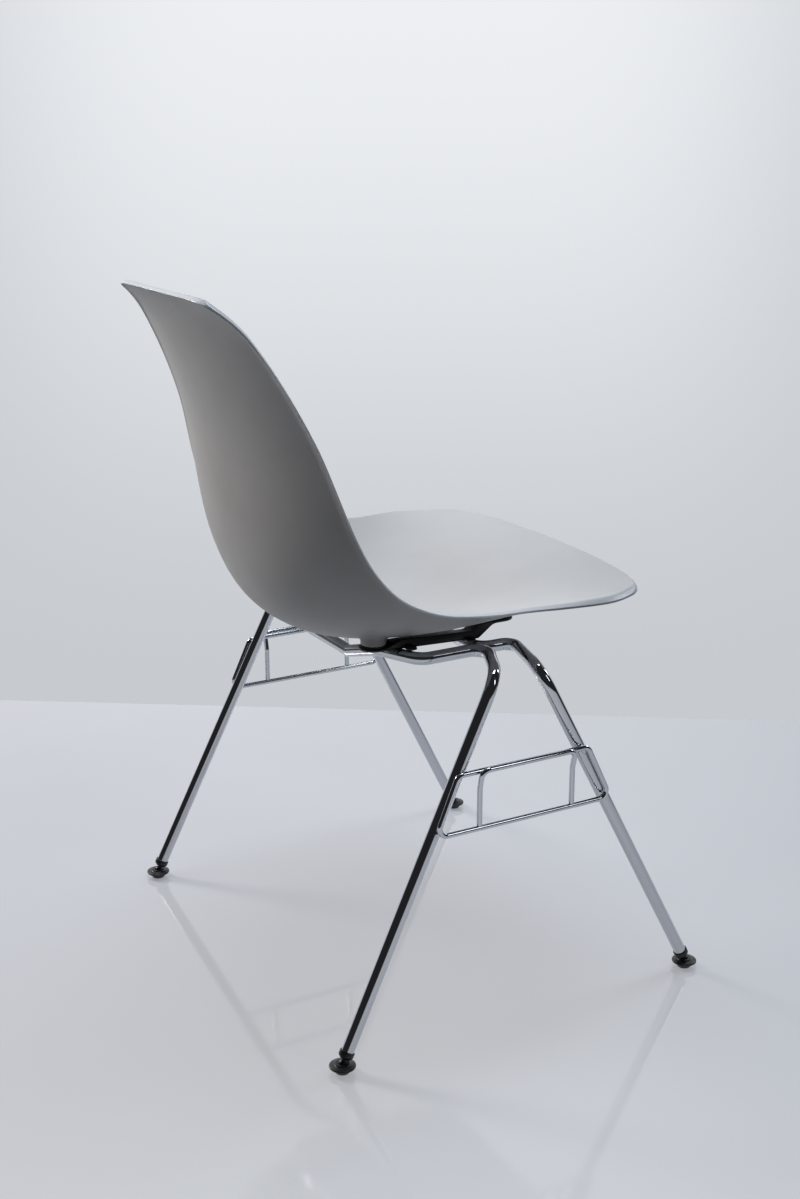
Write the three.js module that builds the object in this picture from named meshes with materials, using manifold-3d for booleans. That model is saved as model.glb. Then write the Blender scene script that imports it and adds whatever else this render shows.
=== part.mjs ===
// Moulded plastic shell chair on a stacking base of two bent tubes.
// Millimetres, +Z up. The sitter faces -Y, and the sitter's right is -X.
// The outer group moves the chair so that its box stands centred on the origin.
import * as THREE from 'three';
import { mergeVertices } from 'three/addons/utils/BufferGeometryUtils.js';
import Module from 'manifold-3d';

const wasm = await Module();
wasm.setup();

// Shell: overall sizes of its outer face, places measured from the middle of the feet
const shellWidth = 465;
const shellDepth = 487;
const shellRise = 389.5; // lowest point of the seat to the top of the back
const seatUnderside = 396; // floor to the lowest point of the seat
const shellFront = -194;
const dishDepth = 92; // how far the sides rise out of the middle where they rise most
const wallThickness = 5;
const lipWidth = 16;
const lipTurn = 2;

// Stations from the front edge over the seat and up the back, evenly spread along the middle
const forwardShares = [0, 0.15, 0.322, 0.538, 0.735, 0.827, 0.862, 0.942, 1];
const heightShares = [0.169, 0.125, 0.048, 0, 0.044, 0.214, 0.591, 0.882, 1];
const widthShares = [0.858, 0.992, 0.981, 0.979, 0.97, 0.92, 0.757, 0.611, 0.478];
const dishShares = [-0.125, 0.085, 0.464, 0.835, 1, 0.834, 0.589, 0.384, 0.037];
const leanDegrees = [0, 0, -10, -31, -46, -52, -49, -59, -50]; // direction in which the sides rise
const dishPower = 2.08;
const frontCorner = { depthShare: 0.084, power: 3.9 };
const topCorner = { depthShare: 0.062, power: 5.7 };
const columns = 22;
const rows = 32;

// Mounts: bosses under the seat, rubber pads, bracket pads and screws
const mountSpread = 250; // between the left and the right mounts
const rearMountY = 113;
const frontMountY = -45;
const bossRadius = 14;
const bossReach = 1.2; // boss face below the shell where the two are closest
const bossSides = 20;
const ringSides = 12;
const rubberThickness = 2;
const screwRadius = 2.9;
const screwClearance = 0.5;
const headRadius = 6;
const headHeight = 3.4;
const socketRadius = 2.3;
const socketDepth = 2;
const insertRadius = 4.5;
const insertBore = 3.2;
const insertLength = 7;
const gap = 0.3; // between faces that touch

// Bent tubes and the welded brackets that carry the shell
const tubeRadius = 7;
const tubeWall = 1.5;
const tubeSides = 10;
const bendSteps = 5;
const footSpread = 522; // leg axes on the floor, left to right
const kneeSpread = 490; // leg axes at the height of the rails
const rearLeg = { footY: 230.2, kneeY: 33, bendY: -6, kinkY: 77, railX: 165, kneeBend: 33, railBend: 16 };
const frontLeg = { footY: -228.8, kneeY: -22, bendY: -49, kinkY: -2, railX: 152, kneeBend: 28, railBend: 14 };
const kinkBend = 18;
const frontRunClearance = 2.8; // front tube's crossing run below the shell
const runSpread = 224; // where the rear tube passes under the rear mounts
const runY = 101;
const dipSpread = 112;
const dipY = 106;
const runClearance = 5.5; // rear tube below the lowest point of the shell
const plateThickness = 2.5;
const padRadius = 16;
const flangeHeight = 9.5;
const rampLength = 19;
const tabWidth = 14;
const rearTabY = 58;
const frontTabY = 17;
const cutOverrun = 4;

// Wire linking frames on the outside of the legs
const wireRadius = 3;
const wireSides = 8;
const loopBottom = 240.5;
const loopTop = 303.5;
const loopBend = 9;
const hookRise = 3; // hook rail above the loop's top wire
const rearStrutShare = 0.152; // of the loop's top wire, in from its rear end
const frontStrutShare = 0.132;
const hookBend = 9;
const hookGap = 1.5; // between the hook rail and the loop's top wire
const strutTurn = 22; // length over which a strut leans out under the hook rail

// Self-levelling glides
const ballRadius = 5;
const ballHeight = 9;
const ballGap = 0.2;
const neckRadius = 2.8;
const collarStart = 7.5; // from the ball's middle, along the leg
const collarLength = 7.5;
const collarFloor = 2;
const collarRadius = 8.2;
const collarTaper = 1.8;
const plugLength = 18;
const brimRadius = 14.2;
const brimBottom = 6.2;
const brimTop = 8.2;
const hubRadius = 8;
const hubTop = 10.8;
const treadRadius = 7;
const footCone = 10.4;
const footSides = 16;
const sleeveSides = 12;
const ballSteps = 5;

const finishes = {
  shell: { color: 0xa9a8aa, roughness: 0.55, metalness: 0 },
  chrome: { color: 0xd8dadd, roughness: 0.08, metalness: 1 },
  blackSteel: { color: 0x151618, roughness: 0.5, metalness: 0.2 },
  rubber: { color: 0x1a1a1a, roughness: 0.85, metalness: 0 },
  zinc: { color: 0xa7abb0, roughness: 0.35, metalness: 1 },
  brass: { color: 0xb08d4c, roughness: 0.35, metalness: 1 },
  nylon: { color: 0x101113, roughness: 0.6, metalness: 0 },
};

const chair = new THREE.Group();

function addMesh(name, geometry, finish, group = chair) {
  const mesh = new THREE.Mesh(geometry, new THREE.MeshStandardMaterial(finishes[finish]));
  mesh.name = name;
  group.add(mesh);
  return mesh;
}

// Closed solids

function toSolid(geometry) {
  const bare = geometry.index ? geometry.clone() : geometry;
  bare.deleteAttribute('normal');
  bare.deleteAttribute('uv');
  const merged = mergeVertices(bare);
  return new wasm.Manifold(new wasm.Mesh({
    numProp: 3,
    vertProperties: new Float32Array(merged.attributes.position.array),
    triVerts: new Uint32Array(merged.index.array),
  }));
}

function toGeometry(solid) {
  const mesh = solid.getMesh();
  const geometry = new THREE.BufferGeometry();
  geometry.setAttribute('position', new THREE.BufferAttribute(mesh.vertProperties, 3));
  geometry.setIndex(Array.from(mesh.triVerts));
  return geometry;
}

function mirrored(geometry) {
  const copy = geometry.index ? geometry.clone() : mergeVertices(geometry);
  const order = copy.index.array;
  for (let i = 0; i < order.length; i += 3) [order[i], order[i + 1]] = [order[i + 1], order[i]];
  copy.scale(-1, 1, 1);
  return copy;
}

function upright(radius, low, high, x, y, sides = bossSides) {
  return new THREE.CylinderGeometry(radius, radius, high - low, sides)
    .rotateX(Math.PI / 2)
    .translate(x, y, (low + high) / 2);
}

// Shell surface

const halfWidth = shellWidth / 2;

// Catmull-Rom value through evenly spread stations
function alongStations(shares, t) {
  const last = shares.length - 1;
  const place = THREE.MathUtils.clamp(t, 0, 1) * last;
  const k = Math.min(Math.floor(place), last);
  const at = (i) => shares[THREE.MathUtils.clamp(i, 0, last)];
  const w = place - k;
  const [a, b, c, d] = [at(k - 1), at(k), at(k + 1), at(k + 2)];
  const startSlope = (c - a) / 2;
  const endSlope = (d - b) / 2;
  return ((2 * b - 2 * c + startSlope + endSlope) * w + 3 * c - 3 * b - 2 * startSlope - endSlope) * w * w
    + startSlope * w + b;
}

function middleLine(t) {
  return new THREE.Vector3(
    0,
    shellFront + shellDepth * alongStations(forwardShares, t),
    seatUnderside + shellRise * alongStations(heightShares, t),
  );
}

// Outer face at the width x and the share t along the middle line
function outerFace(x, t) {
  const rise = dishDepth * alongStations(dishShares, t) * (Math.abs(x) / halfWidth) ** dishPower;
  const lean = THREE.MathUtils.degToRad(alongStations(leanDegrees, t));
  const point = middleLine(t);
  return new THREE.Vector3(x, point.y + Math.sin(lean) * rise, point.z + Math.cos(lean) * rise);
}

// Unit normal towards the sitter
function faceNormal(x, t) {
  const stepX = halfWidth * 0.002;
  const stepT = 0.002;
  const low = Math.max(t - stepT, 0);
  const high = Math.min(t + stepT, 1);
  const across = outerFace(x + stepX, t).sub(outerFace(x - stepX, t));
  const along = outerFace(x, high).sub(outerFace(x, low));
  return across.cross(along).normalize();
}

const middleLength = (() => {
  const steps = 200;
  const line = Array.from({ length: steps + 1 }, (_, i) => middleLine(i / steps));
  return line.slice(1).reduce((length, point, i) => length + point.distanceTo(line[i]), 0);
})();

function cornerDrop(u, corner) {
  return corner.depthShare * (1 - (1 - Math.abs(u) ** corner.power) ** (1 / corner.power));
}

// A point of the moulding: u runs -1 to 1 across, v runs 0 to 1 from the front edge to the top
function mouldingPoint(u, v, offset) {
  const start = cornerDrop(u, frontCorner);
  const end = 1 - cornerDrop(u, topCorner);
  const t = start + (end - start) * v;
  const half = halfWidth * alongStations(widthShares, t);
  const span = (end - start) * middleLength;
  const nearness = [(1 - Math.abs(u)) * half, v * span, (1 - v) * span]
    .map((distance) => Math.max(1 - distance / lipWidth, 0) ** 2);
  const turn = lipTurn * (1 - nearness.reduce((rest, n) => rest * (1 - n), 1));
  return outerFace(u * half, t).addScaledVector(faceNormal(u * half, t), offset - turn);
}

// Closed sheet between two offsets of the outer face, with a rounded edge all round
function mouldedSheet(low, high) {
  const us = Array.from({ length: columns + 1 }, (_, i) => Math.sin((i / columns - 0.5) * Math.PI));
  const vs = Array.from({ length: rows + 1 }, (_, j) => (1 - Math.cos((j / rows) * Math.PI)) / 2);
  const points = [];
  const triangles = [];
  const grid = (offset) => us.map((u) => vs.map((v) => points.push(mouldingPoint(u, v, offset)) - 1));
  const outer = grid(low);
  const inner = grid(high);
  for (let i = 0; i < columns; i += 1) {
    for (let j = 0; j < rows; j += 1) {
      for (const [face, flip] of [[inner, false], [outer, true]]) {
        const [a, b, c, d] = [face[i][j], face[i + 1][j], face[i + 1][j + 1], face[i][j + 1]];
        triangles.push(...(flip ? [a, c, b, a, d, c] : [a, b, c, a, c, d]));
      }
    }
  }
  const rim = [];
  for (let i = 0; i < columns; i += 1) rim.push([i, 0, i, 1]);
  for (let j = 0; j < rows; j += 1) rim.push([columns, j, columns - 1, j]);
  for (let i = columns; i > 0; i -= 1) rim.push([i, rows, i, rows - 1]);
  for (let j = rows; j > 0; j -= 1) rim.push([0, j, 1, j]);
  const turns = [-Math.PI / 6, Math.PI / 6];
  const half = (high - low) / 2;
  const rings = [
    rim.map(([i, j]) => outer[i][j]),
    ...turns.map((turn) => rim.map(([i, j, inI, inJ]) => {
      const low3 = points[outer[i][j]];
      const high3 = points[inner[i][j]];
      const middle = low3.clone().add(high3).multiplyScalar(0.5);
      const inside = points[outer[inI][inJ]].clone().add(points[inner[inI][inJ]]).multiplyScalar(0.5);
      const outward = middle.clone().sub(inside).normalize();
      const across = high3.clone().sub(low3).normalize();
      middle.addScaledVector(outward, Math.cos(turn) * half).addScaledVector(across, Math.sin(turn) * half);
      return points.push(middle) - 1;
    })),
    rim.map(([i, j]) => inner[i][j]),
  ];
  for (let r = 0; r < rings.length - 1; r += 1) {
    for (let k = 0; k < rim.length; k += 1) {
      const next = (k + 1) % rim.length;
      const [a, b, c, d] = [rings[r][k], rings[r][next], rings[r + 1][next], rings[r + 1][k]];
      triangles.push(a, b, c, a, c, d);
    }
  }
  const geometry = new THREE.BufferGeometry().setFromPoints(points);
  geometry.setIndex(triangles);
  return geometry;
}

// Height of the shell's outer face over a point of the seat
function undersideHeight(x, y) {
  let low = 0;
  let high = 0.5;
  for (let i = 0; i < 40; i += 1) {
    const middle = (low + high) / 2;
    if (outerFace(x, middle).y < y) low = middle;
    else high = middle;
  }
  return outerFace(x, low).z;
}

// Mount stack heights, from the shell down to the tubes

const mountX = mountSpread / 2;

function bossFace(y) {
  const ring = Array.from({ length: bossSides }, (_, i) => (i / bossSides) * Math.PI * 2);
  const heights = ring.map((angle) => {
    const [outX, outY] = [bossRadius * Math.cos(angle), bossRadius * Math.sin(angle)];
    return undersideHeight(mountX + outX, y + outY);
  });
  return Math.min(...heights) - bossReach;
}

function mountStack(y) {
  const boss = bossFace(y);
  const rubberTop = boss - gap;
  const padTop = rubberTop - rubberThickness - gap;
  return { y, boss, rubberTop, padTop, padBottom: padTop - plateThickness };
}

const rearMount = mountStack(rearMountY);
const frontMount = mountStack(frontMountY);
const rearRailZ = rearMount.padBottom - gap - tubeRadius;
const frontRailZ = undersideHeight(0, frontLeg.kinkY) - frontRunClearance - tubeRadius;
const barFrontBottom = frontRailZ + tubeRadius + gap;

function buildShell() {
  let shell = toSolid(mouldedSheet(0, wallThickness));
  for (const mount of [rearMount, frontMount]) {
    for (const side of [-1, 1]) {
      const boss = upright(bossRadius, mount.boss, mount.boss + insertLength, side * mountX, mount.y);
      const place = boss.attributes.position;
      const middle = mount.boss + insertLength / 2;
      for (let i = 0; i < place.count; i += 1) {
        if (place.getZ(i) < middle) continue;
        place.setZ(i, undersideHeight(Math.abs(place.getX(i)), place.getY(i)) + wallThickness / 2);
      }
      shell = shell.add(toSolid(boss));
      const boreTop = mount.boss + insertLength + gap;
      const bore = upright(insertRadius + gap, mount.boss - cutOverrun, boreTop, side * mountX, mount.y);
      shell = shell.subtract(toSolid(bore));
    }
  }
  addMesh('seat_shell', toGeometry(shell), 'shell');
}

// Revolved rings and screws of the mounts

function ringShape(outer, inner) {
  const shape = new THREE.Shape();
  shape.absarc(0, 0, outer, 0, Math.PI * 2, false);
  const hole = new THREE.Path();
  hole.absarc(0, 0, inner, 0, Math.PI * 2, true);
  shape.holes.push(hole);
  return shape;
}

function flatRing(outer, inner, thickness, sides) {
  return new THREE.ExtrudeGeometry(ringShape(outer, inner), {
    depth: thickness, bevelEnabled: false, curveSegments: sides / 2,
  });
}

function screwSolid(length) {
  const profile = [
    [0, -headHeight],
    [headRadius * 0.8, -headHeight],
    [headRadius, -headHeight * 0.6],
    [headRadius, 0],
    [screwRadius, 0],
    [screwRadius, length],
    [0, length],
  ].map(([r, z]) => new THREE.Vector2(r, z));
  const body = new THREE.LatheGeometry(profile, ringSides).rotateX(Math.PI / 2);
  const socket = upright(socketRadius, -headHeight - cutOverrun, socketDepth - headHeight, 0, 0, 6);
  return toGeometry(toSolid(body).subtract(toSolid(socket)));
}

function buildMounts() {
  const sides = [['right', -1], ['left', 1]];
  for (const [end, mount] of [['front', frontMount], ['rear', rearMount]]) {
    for (const [side, sign] of sides) {
      const insert = addMesh(`threaded_insert_${end}_${side}`,
        flatRing(insertRadius, insertBore, insertLength - gap, ringSides), 'brass');
      insert.position.set(sign * mountX, mount.y, mount.boss);
      const rubber = addMesh(`rubber_pad_${end}_${side}`,
        flatRing(bossRadius, screwRadius + screwClearance, rubberThickness, bossSides), 'rubber');
      rubber.position.set(sign * mountX, mount.y, mount.rubberTop - rubberThickness);
      const reach = mount.boss - mount.padBottom + insertLength * 0.8;
      const screw = addMesh(`mount_screw_${end}_${side}`, screwSolid(reach), 'zinc');
      screw.position.set(sign * mountX, mount.y, mount.padBottom - gap);
    }
  }
}

// Bent tubes and wires

// Path of straight runs joined by round bends, visited station by station
class BentPath extends THREE.Curve {
  constructor(corners, bends) {
    super();
    this.stations = [];
    const count = corners.length;
    corners.forEach((corner, i) => {
      if (i === 0 || i === count - 1) {
        const run = i === 0 ? corners[1].clone().sub(corner) : corner.clone().sub(corners[i - 1]);
        this.stations.push({ point: corner, tangent: run.normalize() });
        return;
      }
      const back = corners[i - 1].clone().sub(corner).normalize();
      const ahead = corners[i + 1].clone().sub(corner).normalize();
      const half = back.angleTo(ahead) / 2;
      const inward = back.clone().add(ahead).normalize();
      const centre = corner.clone().addScaledVector(inward, bends[i - 1] / Math.sin(half));
      const reach = bends[i - 1] / Math.tan(half);
      const start = corner.clone().addScaledVector(back, reach).sub(centre);
      const axis = ahead.clone().cross(back).normalize().negate();
      const sweep = Math.PI - 2 * half;
      for (let k = 0; k <= bendSteps; k += 1) {
        const angle = (k / bendSteps) * sweep;
        this.stations.push({
          point: start.clone().applyAxisAngle(axis, -angle).add(centre),
          tangent: back.clone().negate().applyAxisAngle(axis, -angle),
        });
      }
    });
  }

  at(t, key, target) {
    return target.copy(this.stations[Math.round(t * (this.stations.length - 1))][key]);
  }

  getPointAt(t, target = new THREE.Vector3()) {
    return this.at(t, 'point', target);
  }

  getTangentAt(t, target = new THREE.Vector3()) {
    return this.at(t, 'tangent', target);
  }
}

function sweptAlong(shape, path, sides) {
  return new THREE.ExtrudeGeometry(shape, {
    extrudePath: path, steps: path.stations.length - 1, curveSegments: sides / 2, bevelEnabled: false,
  });
}

function rodShape(radius) {
  const shape = new THREE.Shape();
  shape.absarc(0, 0, radius, 0, Math.PI * 2, false);
  return shape;
}

const across = (sign, x, y, z) => new THREE.Vector3(sign * x, y, z);

// Axis of a leg: a point on the floor and the knee at rail height
function legAxis(leg, railZ, sign) {
  return {
    foot: across(sign, footSpread / 2, leg.footY, 0),
    knee: across(sign, kneeSpread / 2, leg.kneeY, railZ),
  };
}

function onLeg(axis, z) {
  return axis.foot.clone().lerp(axis.knee, z / axis.knee.z);
}

function ballCentre(axis) {
  return onLeg(axis, ballHeight);
}

function tubeEnd(axis) {
  const direction = axis.knee.clone().sub(axis.foot).normalize();
  return ballCentre(axis).addScaledVector(direction, collarStart + collarFloor + gap);
}

// One half of a tube's corners, from the foot to the run under the seat
function halfTube(leg, railZ, sign, run) {
  const axis = legAxis(leg, railZ, sign);
  return [
    tubeEnd(axis),
    axis.knee,
    across(sign, leg.railX, leg.bendY, railZ),
    across(sign, leg.railX, leg.kinkY, railZ),
    ...run.map(([x, y, z]) => across(sign, x, y, z)),
  ];
}

function buildTube(name, leg, railZ, run) {
  const right = halfTube(leg, railZ, -1, run);
  const left = halfTube(leg, railZ, 1, run).reverse();
  const bends = [leg.kneeBend, leg.railBend, kinkBend, ...run.map(() => kinkBend)];
  const path = new BentPath([...right, ...left], [...bends, ...bends.slice().reverse()]);
  addMesh(name, sweptAlong(ringShape(tubeRadius, tubeRadius - tubeWall), path, tubeSides), 'chrome');
}

// Brackets

const rampEnd = frontMount.y + padRadius;
const barStart = rampEnd + rampLength;
const barEnd = rearMount.y - padRadius;

function barBottom(y) {
  return THREE.MathUtils.mapLinear(y, barStart, barEnd, barFrontBottom, rearMount.padBottom);
}

function bracketStrip() {
  const barTop = barFrontBottom + plateThickness;
  const top = [
    [frontMount.y - padRadius - cutOverrun, frontMount.padTop],
    [rampEnd, frontMount.padTop],
    [barStart, barTop],
    [barEnd, rearMount.padTop],
    [rearMount.y + padRadius + cutOverrun, rearMount.padTop],
  ];
  const bottom = top.map(([y, z]) => [y, z - plateThickness]).reverse();
  const outline = new THREE.Shape([...top, ...bottom].map(([y, z]) => new THREE.Vector2(y, z)));
  const strip = new THREE.ExtrudeGeometry(outline, { depth: padRadius * 2, bevelEnabled: false });
  return alongX(strip).translate(mountX - padRadius, 0, 0);
}

// Turns an outline drawn in y and z, extruded away from it, into one extruded along X
function alongX(geometry) {
  const basis = new THREE.Matrix4().makeBasis(
    new THREE.Vector3(0, 1, 0), new THREE.Vector3(0, 0, 1), new THREE.Vector3(1, 0, 0),
  );
  return geometry.applyMatrix4(basis);
}

function bracketPlan() {
  const shape = new THREE.Shape();
  shape.absarc(mountX, rearMount.y, padRadius, 0, Math.PI, false);
  shape.absarc(mountX, frontMount.y, padRadius, Math.PI, Math.PI * 2, false);
  const low = barFrontBottom - cutOverrun;
  const depth = frontMount.padTop + cutOverrun - low;
  const plan = new THREE.ExtrudeGeometry(shape, { depth, bevelEnabled: false, curveSegments: ringSides });
  return plan.translate(0, 0, low);
}

function bracketFlange() {
  const flangeTop = rearMount.padBottom + flangeHeight;
  const rearEnd = rearMount.y - padRadius / 2;
  const outline = new THREE.Shape([
    [rampEnd, frontMount.padBottom],
    [barStart, barFrontBottom],
    [barEnd, rearMount.padBottom],
    [rearEnd, rearMount.padBottom],
    [rearEnd, rearMount.padTop],
    [barEnd - flangeHeight, flangeTop],
    [barStart + flangeHeight, flangeTop],
    [barStart, frontMount.padTop],
    [rampEnd, frontMount.padTop],
  ].map(([y, z]) => new THREE.Vector2(y, z)));
  const flange = new THREE.ExtrudeGeometry(outline, { depth: plateThickness, bevelEnabled: false });
  return alongX(flange).translate(mountX + padRadius - plateThickness, 0, 0);
}

// Tab from the bar out to the rear tube's rail
function bracketTab(y) {
  const inX = mountX + padRadius - plateThickness;
  const outX = rearLeg.railX - tubeRadius - gap;
  const low = barBottom(y);
  const outline = new THREE.Shape([
    [inX, low],
    [inX + plateThickness, low - plateThickness],
    [outX, rearRailZ - plateThickness / 2],
    [outX, rearRailZ + plateThickness / 2],
    [inX + plateThickness, low + plateThickness * 2],
    [inX, low + plateThickness * 2],
  ].map(([x, z]) => new THREE.Vector2(x, z)));
  return new THREE.ExtrudeGeometry(outline, { depth: tabWidth, bevelEnabled: false })
    .rotateX(Math.PI / 2)
    .translate(0, y + tabWidth / 2, 0);
}

function buildBrackets() {
  let bracket = toSolid(bracketStrip()).intersect(toSolid(bracketPlan()));
  bracket = bracket.add(toSolid(bracketFlange()));
  for (const y of [rearTabY, frontTabY]) bracket = bracket.add(toSolid(bracketTab(y)));
  for (const mount of [frontMount, rearMount]) {
    const holeBottom = mount.padBottom - cutOverrun;
    const holeTop = mount.padTop + cutOverrun;
    const hole = upright(screwRadius + screwClearance, holeBottom, holeTop, mountX, mount.y, ringSides);
    bracket = bracket.subtract(toSolid(hole));
  }
  const left = toGeometry(bracket);
  addMesh('side_bracket_left', left, 'blackSteel');
  addMesh('side_bracket_right', mirrored(left), 'blackSteel');
}

// Linking frames

const rearAxis = legAxis(rearLeg, rearRailZ, 1);
const frontAxis = legAxis(frontLeg, frontRailZ, 1);
const wireOut = tubeRadius + wireRadius + gap;

// Point beside a leg at a height, out by the wire's distance and along by some length
function besideLeg(axis, z, along) {
  return onLeg(axis, z).add(new THREE.Vector3(wireOut, along, 0));
}

function buildLink(side, sign) {
  const rearLow = besideLeg(rearAxis, loopBottom, wireRadius);
  const rearHigh = besideLeg(rearAxis, loopTop, wireRadius * 2);
  const frontLow = besideLeg(frontAxis, loopBottom, -wireRadius);
  const frontHigh = besideLeg(frontAxis, loopTop, -wireRadius * 2);
  const seam = rearLow.clone().lerp(frontLow, 0.5);
  const seamEnd = seam.clone().add(new THREE.Vector3(0, gap, 0));
  const loopCorners = [seam, frontLow, frontHigh, rearHigh, rearLow, seamEnd];
  const loop = new BentPath(loopCorners, Array(loopCorners.length - 2).fill(loopBend));
  const loopGeometry = sweptAlong(rodShape(wireRadius), loop, wireSides);

  const lowX = (rearLow.x + frontLow.x) / 2;
  const highX = (rearHigh.x + frontHigh.x) / 2 + wireRadius * 2 + hookGap;
  const railZ = loopTop + hookRise;
  const strutFoot = loopBottom + wireRadius + gap;
  const strut = (y) => [
    new THREE.Vector3(lowX, y, strutFoot),
    new THREE.Vector3(lowX, y, railZ - strutTurn),
    new THREE.Vector3(highX, y, railZ),
  ];
  const topLength = rearHigh.y - frontHigh.y;
  const rearStrut = strut(rearHigh.y - rearStrutShare * topLength);
  const frontStrut = strut(frontHigh.y + frontStrutShare * topLength);
  const hookCorners = [...rearStrut, ...frontStrut.reverse()];
  const hook = new BentPath(hookCorners, Array(hookCorners.length - 2).fill(hookBend));
  const hookGeometry = sweptAlong(rodShape(wireRadius), hook, wireSides);
  addMesh(`link_loop_${side}`, sign > 0 ? loopGeometry : mirrored(loopGeometry), 'chrome');
  addMesh(`link_hook_${side}`, sign > 0 ? hookGeometry : mirrored(hookGeometry), 'chrome');
}

// Glides

function arcPoints(radius, from, to, steps) {
  return Array.from({ length: steps + 1 }, (_, i) => {
    const angle = from + ((to - from) * i) / steps;
    return [radius * Math.cos(angle), radius * Math.sin(angle)];
  });
}

// Revolved about Y: ball at the origin, plug up the tube
function sleeveSolid() {
  const neckAngle = Math.acos(neckRadius / ballRadius);
  const collarEnd = collarStart + collarLength;
  const floor = collarStart + collarFloor;
  const profile = [
    [0, -ballRadius],
    ...arcPoints(ballRadius, -Math.PI / 2, neckAngle, ballSteps).slice(1),
    [neckRadius, collarStart],
    [collarRadius - collarTaper, collarStart],
    [collarRadius, floor],
    [collarRadius, collarEnd - gap],
    [tubeRadius + gap * 2, collarEnd],
    [tubeRadius + gap, collarEnd - gap],
    [tubeRadius + gap, floor],
    [tubeRadius - tubeWall - gap, floor],
    [tubeRadius - tubeWall - gap, floor + plugLength],
    [0, floor + plugLength],
  ].map(([r, y]) => new THREE.Vector2(r, y));
  return new THREE.LatheGeometry(profile, sleeveSides);
}

// Revolved about Y: tread at the floor, open socket above
function footSolid() {
  const socket = ballRadius + ballGap;
  const mouth = Math.asin((hubTop - ballHeight) / socket);
  const cavity = arcPoints(socket, mouth, -Math.PI / 2, ballSteps).map(([r, z]) => [r, z + ballHeight]);
  const edge = (brimTop - brimBottom) / 4;
  const profile = [
    [0, 0],
    [treadRadius, 0],
    [treadRadius + edge, edge],
    [footCone, brimBottom],
    [brimRadius - edge, brimBottom],
    [brimRadius, brimBottom + edge],
    [brimRadius, brimTop - edge],
    [brimRadius - edge * 2, brimTop],
    [hubRadius, (brimTop + hubTop) / 2],
    [hubRadius - edge, hubTop],
    ...cavity.slice(0, -1),
    [0, ballHeight - socket],
  ].map(([r, z]) => new THREE.Vector2(r, z));
  return new THREE.LatheGeometry(profile, footSides).rotateX(Math.PI / 2);
}

function buildGlides() {
  for (const [end, leg, railZ] of [['front', frontLeg, frontRailZ], ['rear', rearLeg, rearRailZ]]) {
    for (const [side, sign] of [['right', -1], ['left', 1]]) {
      const axis = legAxis(leg, railZ, sign);
      const direction = axis.knee.clone().sub(axis.foot).normalize();
      const ball = ballCentre(axis);
      const sleeve = addMesh(`glide_sleeve_${end}_${side}`, sleeveSolid(), 'nylon');
      sleeve.quaternion.setFromUnitVectors(new THREE.Vector3(0, 1, 0), direction);
      sleeve.position.copy(ball);
      const foot = addMesh(`glide_foot_${end}_${side}`, footSolid(), 'nylon');
      foot.position.set(ball.x, ball.y, 0);
    }
  }
}

buildShell();
buildMounts();
buildTube('front_leg_tube', frontLeg, frontRailZ, []);
const dipZ = seatUnderside - runClearance - tubeRadius;
const rearRun = [[runSpread / 2, runY, rearRailZ], [dipSpread / 2, dipY, dipZ]];
buildTube('rear_leg_tube', rearLeg, rearRailZ, rearRun);
buildBrackets();
buildLink('right', -1);
buildLink('left', 1);
buildGlides();

const bounds = new THREE.Box3().setFromObject(chair);
chair.position.y = -(bounds.min.y + bounds.max.y) / 2;
const placed = new THREE.Group();
placed.add(chair);

export default placed;
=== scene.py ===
# Moulded shell chair on bent tubes: its looks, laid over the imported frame
# Metres, +Z up. The sitter faces -Y, and the sitter's right is -X
import math
import bmesh
import bpy
import numpy as np
from mathutils import Matrix, Vector


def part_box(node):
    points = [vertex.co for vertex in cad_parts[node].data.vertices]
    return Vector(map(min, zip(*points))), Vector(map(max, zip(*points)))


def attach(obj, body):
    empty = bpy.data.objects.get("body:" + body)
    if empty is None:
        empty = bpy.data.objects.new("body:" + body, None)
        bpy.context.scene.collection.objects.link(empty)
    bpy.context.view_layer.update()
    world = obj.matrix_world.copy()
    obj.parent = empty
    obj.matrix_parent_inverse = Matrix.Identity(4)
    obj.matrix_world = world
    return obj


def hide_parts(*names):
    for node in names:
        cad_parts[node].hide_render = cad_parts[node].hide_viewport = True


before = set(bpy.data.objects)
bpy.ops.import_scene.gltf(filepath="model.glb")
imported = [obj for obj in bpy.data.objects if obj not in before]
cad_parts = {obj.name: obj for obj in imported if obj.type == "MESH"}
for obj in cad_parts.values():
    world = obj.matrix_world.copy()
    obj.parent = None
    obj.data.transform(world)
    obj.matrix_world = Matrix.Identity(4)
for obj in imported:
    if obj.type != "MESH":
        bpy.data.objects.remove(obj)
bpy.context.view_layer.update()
up = np.array([0.0, 0.0, 1.0])


def unit(vector):
    return vector / np.linalg.norm(vector)


# Camera

camera = {
    "pixelsWide": 800,
    "pixelsHigh": 1199,
    "focalPixels": 1655.7,
    "filmHeight": 36.0,  # millimetres
    "place": (-1.6075, 0.8845, 0.9724),
    "yaw": 119.33,  # degrees clockwise from +Y
    "pitch": -16.85,
    "roll": 0.06,
    "clip": (0.05, 50),
}


def cameraAxes():
    yaw, pitch, roll = (math.radians(camera[key]) for key in ("yaw", "pitch", "roll"))
    flat = math.cos(pitch)
    ahead = np.array([math.sin(yaw) * flat, math.cos(yaw) * flat, math.sin(pitch)])
    level = unit(np.cross(ahead, up))
    above = np.cross(level, ahead)
    right = math.cos(roll) * level - math.sin(roll) * above
    return right, np.cross(right, ahead), ahead


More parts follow.
